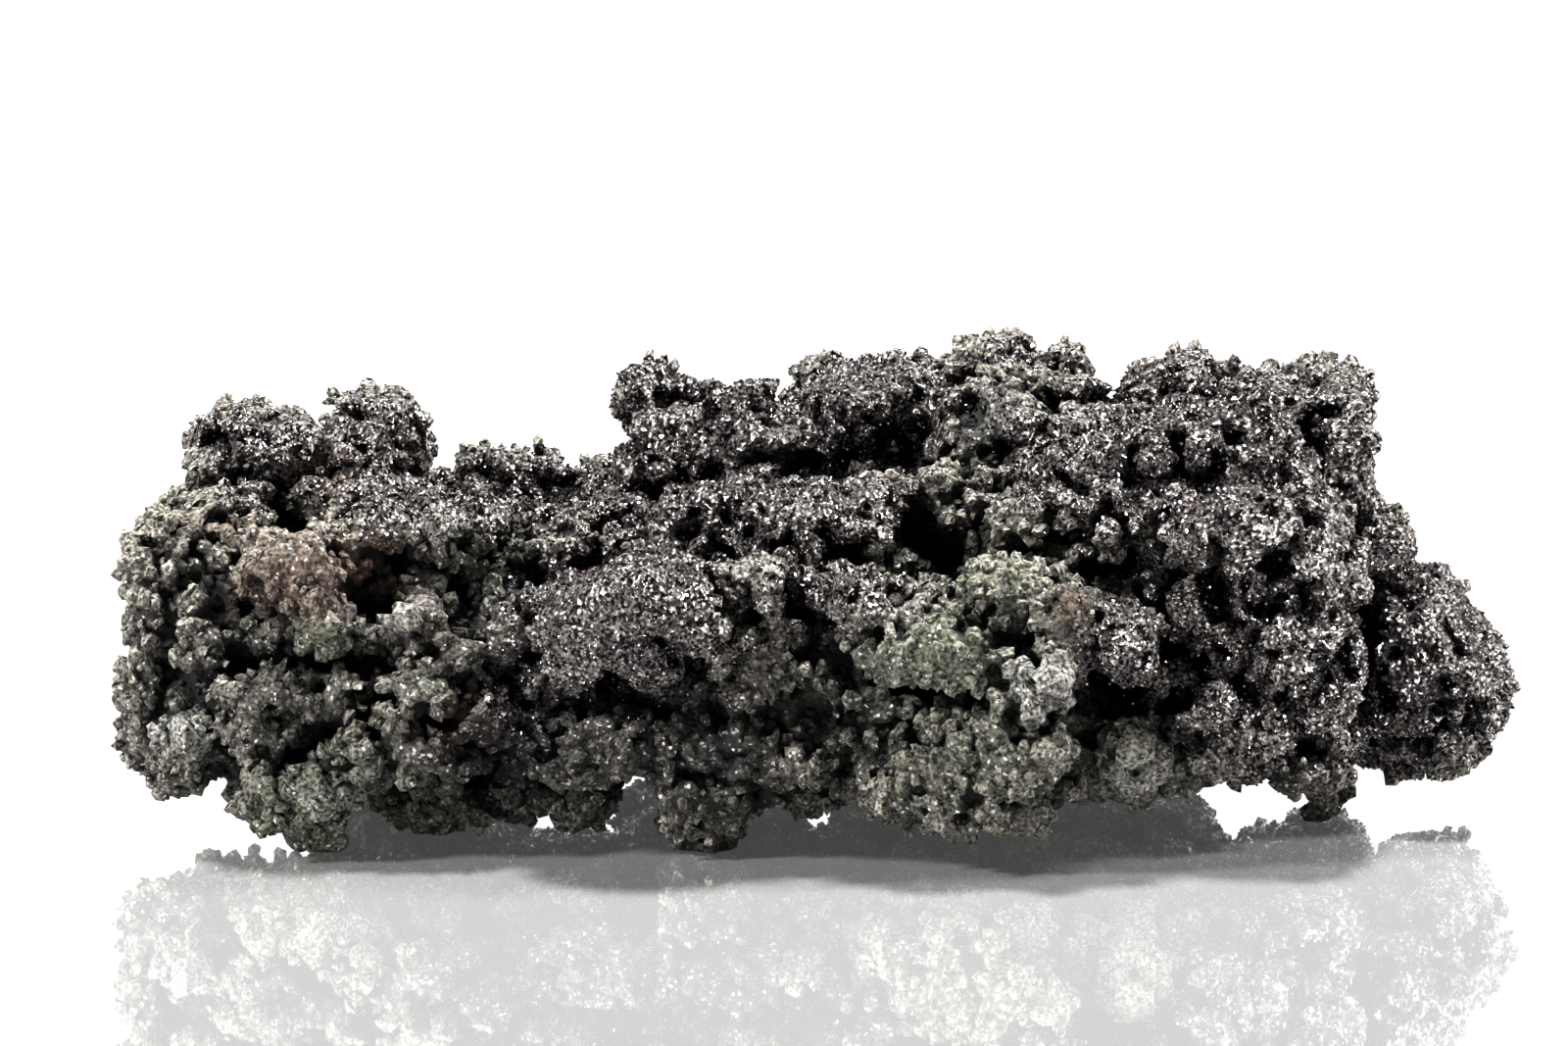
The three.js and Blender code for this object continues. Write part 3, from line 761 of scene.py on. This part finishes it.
# Crumbs: small broken grains of the same clinker, sintered to the rock's skin and half sunk in it, most
# of them where no crystals grow. Each is a faceted stone of twenty sides with a shape and turn of its
# own.
MOST_CRUMBS = 9700
golden = (1 + math.sqrt(5)) / 2
icosahedron = np.array(
    [[0, a, b * golden] for a in (-1, 1) for b in (-1, 1)]
    + [[a, b * golden, 0] for a in (-1, 1) for b in (-1, 1)]
    + [[b * golden, 0, a] for a in (-1, 1) for b in (-1, 1)]
) / math.sqrt(1 + golden**2)


def hull_faces(points):
    """A convex form's triangles, turned outwards: the triples of points with all others on one side."""
    faces = []
    for i in range(len(points)):
        for j in range(i + 1, len(points)):
            for k in range(j + 1, len(points)):
                out = np.cross(points[j] - points[i], points[k] - points[i])
                side = (points - points[i]) @ out
                if np.linalg.norm(out) > 1e-9 and (side.max() < 1e-9 or side.min() > -1e-9):
                    faces.append((i, j, k) if side.max() < 1e-9 else (i, k, j))
    return np.array(faces)


def copies(name, form, faces, centres, sizes, turns, jitter, rng):
    """One mesh of many turned and stretched copies of a small form, each with its points moved a little."""
    shape = form[None] * (1 + jitter * rng.uniform(-1, 1, (len(centres), len(form), 1)))
    shape = np.einsum("nij,npj->npi", turns, shape * sizes[:, None, :])
    points = (shape + centres[:, None, :]).reshape(-1, 3)
    every = (faces[None] + len(form) * np.arange(len(centres))[:, None, None]).reshape(-1, 3)
    return mesh_of(name, points, every)


CRUMB_SPACING, CRUMB_RADII = 0.85 * MM, (0.22, 0.65)
CRUMB_STANDS = 0.15  # how far a crumb's middle is out of the skin, in its radii
rng = np.random.default_rng(71)
seats, out = scattered(rock_points, rock_triangles, CRUMB_SPACING, 72)
bare = 1 - cover(seats, *COVERS["crust"])
kept = (rng.random(len(seats)) < 0.15 + 0.85 * bare) & (seats[:, 2] > 1.2 * MM)

# Larger blocks that stand out in the front view: across, up and radius.
BLOCKS = [
    (-39.9, 4.8, 1.3),
    (-42.0, 7.0, 0.8),
    (-25.8, 12.0, 1.2),
    (-22.2, 10.9, 0.9),
    (-20.0, 11.2, 0.8),
    (-24.2, 9.2, 0.8),
    (-30.9, 11.6, 1.1),
    (-34.4, 10.4, 0.7),
    (-36.2, 8.4, 0.7),
    (-33.0, 8.0, 0.6),
    (15.4, 8.3, 1.2),
    (13.8, 6.4, 0.9),
    (16.6, 5.3, 1.0),
    (17.9, 7.2, 0.7),
    (12.6, 8.6, 0.7),
    (14.6, 10.2, 0.8),
    (14.6, 3.6, 0.9),
    (20.4, 3.6, 1.3),
    (17.8, 2.6, 0.8),
    (16.2, 13.2, 0.8),
    (11.0, 27.4, 0.8),
    (24.2, 27.2, 0.8),
    (1.4, 7.6, 0.7),
    (-4.0, 10.6, 0.8),
]
small = MOST_CRUMBS - len(BLOCKS)
seats, out = seats[kept][:small], out[kept][:small]
seats = np.concatenate([seats, [facing(x, y) for x, y, _ in BLOCKS]])
out = np.concatenate([out, np.tile(-inward, (len(BLOCKS), 1))])
size = np.append(rng.uniform(*CRUMB_RADII, len(seats) - len(BLOCKS)), [radius for *_, radius in BLOCKS])
size = size[:, None] * MM
sizes = size * rng.uniform(0.7, 1.15, (len(seats), 3))
crumbs = copies(
    "clinker_crumbs",
    icosahedron,
    hull_faces(icosahedron),
    seats + out * size * CRUMB_STANDS,
    sizes,
    turned(len(seats), ANY_WAY, rng),
    0.35,
    rng,
)
set_cover(crumbs, points_of(crumbs))
crumbs.data.materials.append(stone_material("broken basaltic clinker", 0.62))
crumbs.data.shade_flat()
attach(crumbs, "root")

# Rheniite crystals: thin six-sided platelets of rhenium sulphide, about 0.2 mm across, that grew from hot
# gas on the tops and the right side. Each is a flattened octahedron of eight faces, stuck to the rock at
# any angle. They are three pieces, from left to right, so that none has too many triangles.
PIECES = ("left", "middle", "right")
MOST_CRYSTALS = 24500 * len(PIECES)
PLATE_THICKNESS = 0.32  # half of it, in radii
CRYSTAL_SPACING, CRYSTAL_RADII = 0.36 * MM, (0.07, 0.13)
CRYSTAL_STANDS = 0.35  # how far a crystal's middle is out of the skin, in its radii
corner_angle = np.radians(60) * np.arange(6)
above_below = PLATE_THICKNESS * (-1.0) ** np.arange(6)
platelet = np.stack([np.cos(corner_angle), np.sin(corner_angle), above_below], 1)
platelet_faces = hull_faces(platelet)

rng = np.random.default_rng(81)
seats, out = scattered(rock_points, rock_triangles, CRYSTAL_SPACING, 82)
crust = cover(seats, *COVERS["crust"]) - 0.8 * np.clip(-sampled(recess, seats) / (0.4 * MM), 0, 1)
kept = (rng.random(len(seats)) < 1.25 * crust - 0.15) & (seats[:, 2] > 0.8 * MM)
seats, out = seats[kept][:MOST_CRYSTALS], out[kept][:MOST_CRYSTALS]
order = np.argsort(seats[:, 0])

# Rheniite: a silvery black metallic sulphide with a tinge of purple. Its faces are mirrors, so a platelet
# is white or black by how it lies to the light, and each has its own brightness besides.
rheniite = bpy.data.materials.new("rheniite platelets")
tree = emptied(rheniite)
tone = add(tree, "ShaderNodeAttribute", attribute_name="tone")["Fac"]
ends = {6: linear("#2e2224"), 7: linear("#fdf8f5")}
silver = add(tree, "ShaderNodeMix", {0: tone, **ends}, data_type="RGBA")[2]
looks = {"Base Color": silver, "Metallic": 1.0, "Roughness": 0.16}
surface = add(tree, "ShaderNodeBsdfPrincipled", looks)[0]
add(tree, "ShaderNodeOutputMaterial", {"Surface": surface})
for label, mine in zip(PIECES, np.array_split(order, len(PIECES))):
    size = rng.uniform(*CRYSTAL_RADII, (len(mine), 1)) * MM
    crystals = copies(
        f"rheniite_crystals_{label}",
        platelet,
        platelet_faces,
        seats[mine] + out[mine] * size * CRYSTAL_STANDS,
        size * rng.uniform(0.8, 1.2, (len(mine), 3)),
        turned(len(mine), ANY_WAY, rng),
        0.1,
        rng,
    )
    set_values(crystals, "tone", np.repeat(rng.random(len(mine)) ** 2.3, len(platelet)))
    crystals.data.materials.append(rheniite)
    crystals.data.shade_flat()
    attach(crystals, "root")

# The floor: a sheet of white glossy acrylic, lit a little from below as on a photographer's table. It shows
# the rock again as a faint mirror image.
FLOOR_REACH = 2.0
corners = FLOOR_REACH * np.array([(-1, -1, 0), (1, -1, 0), (1, 1, 0), (-1, 1, 0)])
sheet = mesh_of("studio_floor", corners, np.array([[0, 1, 2, 3]]))
acrylic = bpy.data.materials.new("white acrylic sheet")
tree = emptied(acrylic)
white = linear("#f4f4f4")
gloss = {"Base Color": white, "Metallic": 0.8, "Roughness": 0.02}
glow = {"Emission Color": white, "Emission Strength": 0.07}
surface = add(tree, "ShaderNodeBsdfPrincipled", {**gloss, **glow})[0]
add(tree, "ShaderNodeOutputMaterial", {"Surface": surface})
sheet.data.materials.append(acrylic)

# The light: a white room whose walls are bright low down, more so behind the rock than in front of it, and
# three softboxes, high on the left, lower on the right and overhead. The camera sees the room plain white.
world = bpy.data.worlds.new("white room")
bpy.context.scene.world = world
tree = emptied(world)
way = add(tree, "ShaderNodeSeparateXYZ", {0: add(tree, "ShaderNodeTexCoord")["Generated"]})
wall = add(tree, "ShaderNodeMapRange", {0: way["Z"], 1: 0.22, 2: 0.36, 3: 1.0, 4: 0.02})[0]
side = add(tree, "ShaderNodeMapRange", {0: way["Y"], 1: -0.3, 2: 0.3, 3: 0.32, 4: 1.0})[0]
room = add(tree, "ShaderNodeMath", {0: wall, 1: side}, operation="MULTIPLY")[0]
backdrop = add(tree, "ShaderNodeLightPath")["Is Camera Ray"]
strength = add(tree, "ShaderNodeMapRange", {0: backdrop, 3: room, 4: 1.1})[0]
glow = add(tree, "ShaderNodeBackground", {"Color": (1, 1, 1, 1), "Strength": strength})[0]
add(tree, "ShaderNodeOutputWorld", {"Surface": glow})


MIDDLE = 15 * MM  # the height of the rock's middle


def softbox(name, place, size, power):
    """A square area light aimed at the middle of the rock."""
    data = bpy.data.lights.new(name, "AREA")
    data.size = size
    data.energy = power
    lamp = bpy.data.objects.new(name, data)
    bpy.context.scene.collection.objects.link(lamp)
    lamp.location = place
    towards = np.array([0, 0, MIDDLE]) - np.array(place)
    pitch = math.acos(-towards[2] / np.linalg.norm(towards))
    lamp.rotation_euler = (pitch, 0, math.atan2(towards[1], towards[0]) - math.pi / 2)


softbox("key_left", (-0.7, -0.3, 0.5), 0.11, 11.5)
softbox("rim_right", (0.75, 0.05, 0.4), 0.12, 11)
softbox("top", (0.0, 0.1, 0.8), 0.12, 14)

# The camera: a long lens 12 degrees above level, framed as in the photograph, 16 of whose pixels make 1 mm.
PHOTO_WIDTH, PIXELS_PER_MM = 1600, 16
CENTRE_ACROSS, CENTRE_UP = -1.75 * MM, 18.03 * MM
DISTANCE = 2.0
data = bpy.data.cameras.new("camera")
data.sensor_width = 36
data.lens = data.sensor_width * DISTANCE / (PHOTO_WIDTH / PIXELS_PER_MM * MM)
data.clip_start, data.clip_end = 0.1, 20
camera = bpy.data.objects.new("camera", data)
bpy.context.scene.collection.objects.link(camera)
target = np.array([CENTRE_ACROSS, 0, CENTRE_UP / math.cos(VIEW)])
camera.location = target - DISTANCE * np.array([0, math.cos(VIEW), -math.sin(VIEW)])
camera.rotation_euler = (math.pi / 2 - VIEW, 0, 0)
bpy.context.scene.camera = camera

# The tones are plain ones, a little brighter and with deeper shade, as in the photograph.
display = bpy.context.scene.view_settings
display.view_transform = "Standard"
display.exposure = 0.45
display.gamma = 0.82
